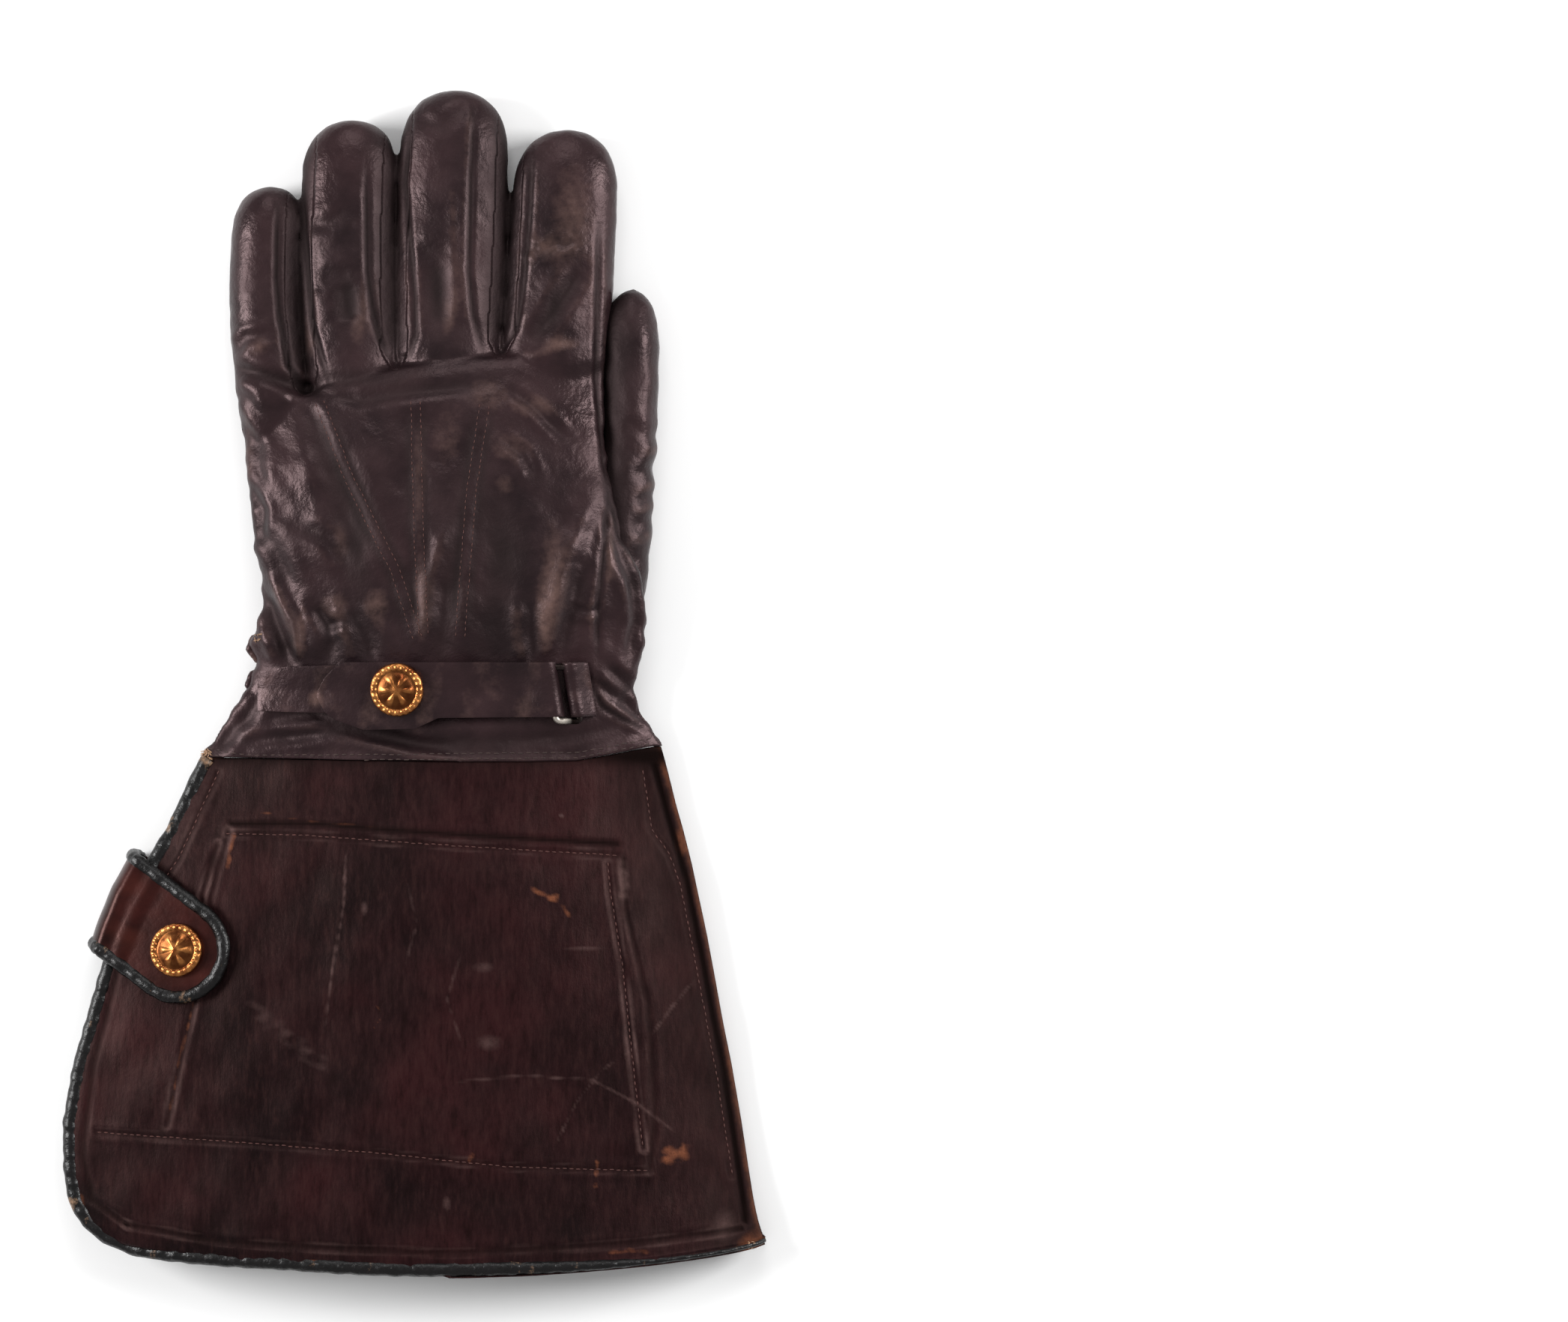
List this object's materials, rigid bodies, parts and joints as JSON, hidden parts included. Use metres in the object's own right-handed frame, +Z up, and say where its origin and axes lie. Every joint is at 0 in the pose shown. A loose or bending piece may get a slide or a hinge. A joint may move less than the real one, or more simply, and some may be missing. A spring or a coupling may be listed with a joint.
{
  "type": "leather gauntlet glove",
  "caption": "Left hand's leather riding gauntlet with a flared stiff cuff, a wrist strap with a domed snap and a side tab that closes the cuff",
  "frame": {"origin": "centre of the glove's outline, on the surface that it lies on", "axes": "+X towards the thumb's side, +Y towards the fingertips, +Z up out of the back of the hand"},
  "size_m": [0.2109, 0.3549, 0.0271],
  "materials": {
    "glove_leather": "soft black-brown leather, waxed and creased",
    "cuff_leather": "stiff dark brown leather, worn and scuffed",
    "binding_leather": "black rolled leather, rubbed at the edges",
    "snap_brass": "aged brass, pressed",
    "steel_wire": "bent steel wire, tarnished"
  },
  "bodies": {
    "root": {"hand_back": "glove_leather", "hand_palm": "glove_leather", "pinky_front": "glove_leather", "ring_front": "glove_leather", "middle_front": "glove_leather", "index_front": "glove_leather", "fork_pinky_ring": "glove_leather", "fork_ring_middle": "glove_leather", "fork_middle_index": "glove_leather", "thumb": "glove_leather", "wrist_strap": "glove_leather", "strap_chape": "glove_leather", "strap_loop": "steel_wire", "wrist_snap_cap": "snap_brass", "cuff_front": "cuff_leather", "cuff_rear": "cuff_leather", "front_binding": "binding_leather", "rear_binding": "binding_leather", "cuff_gusset": "glove_leather", "cuff_tab": "cuff_leather", "tab_binding": "binding_leather", "cuff_snap_cap": "snap_brass"}
  },
  "joints": []
}
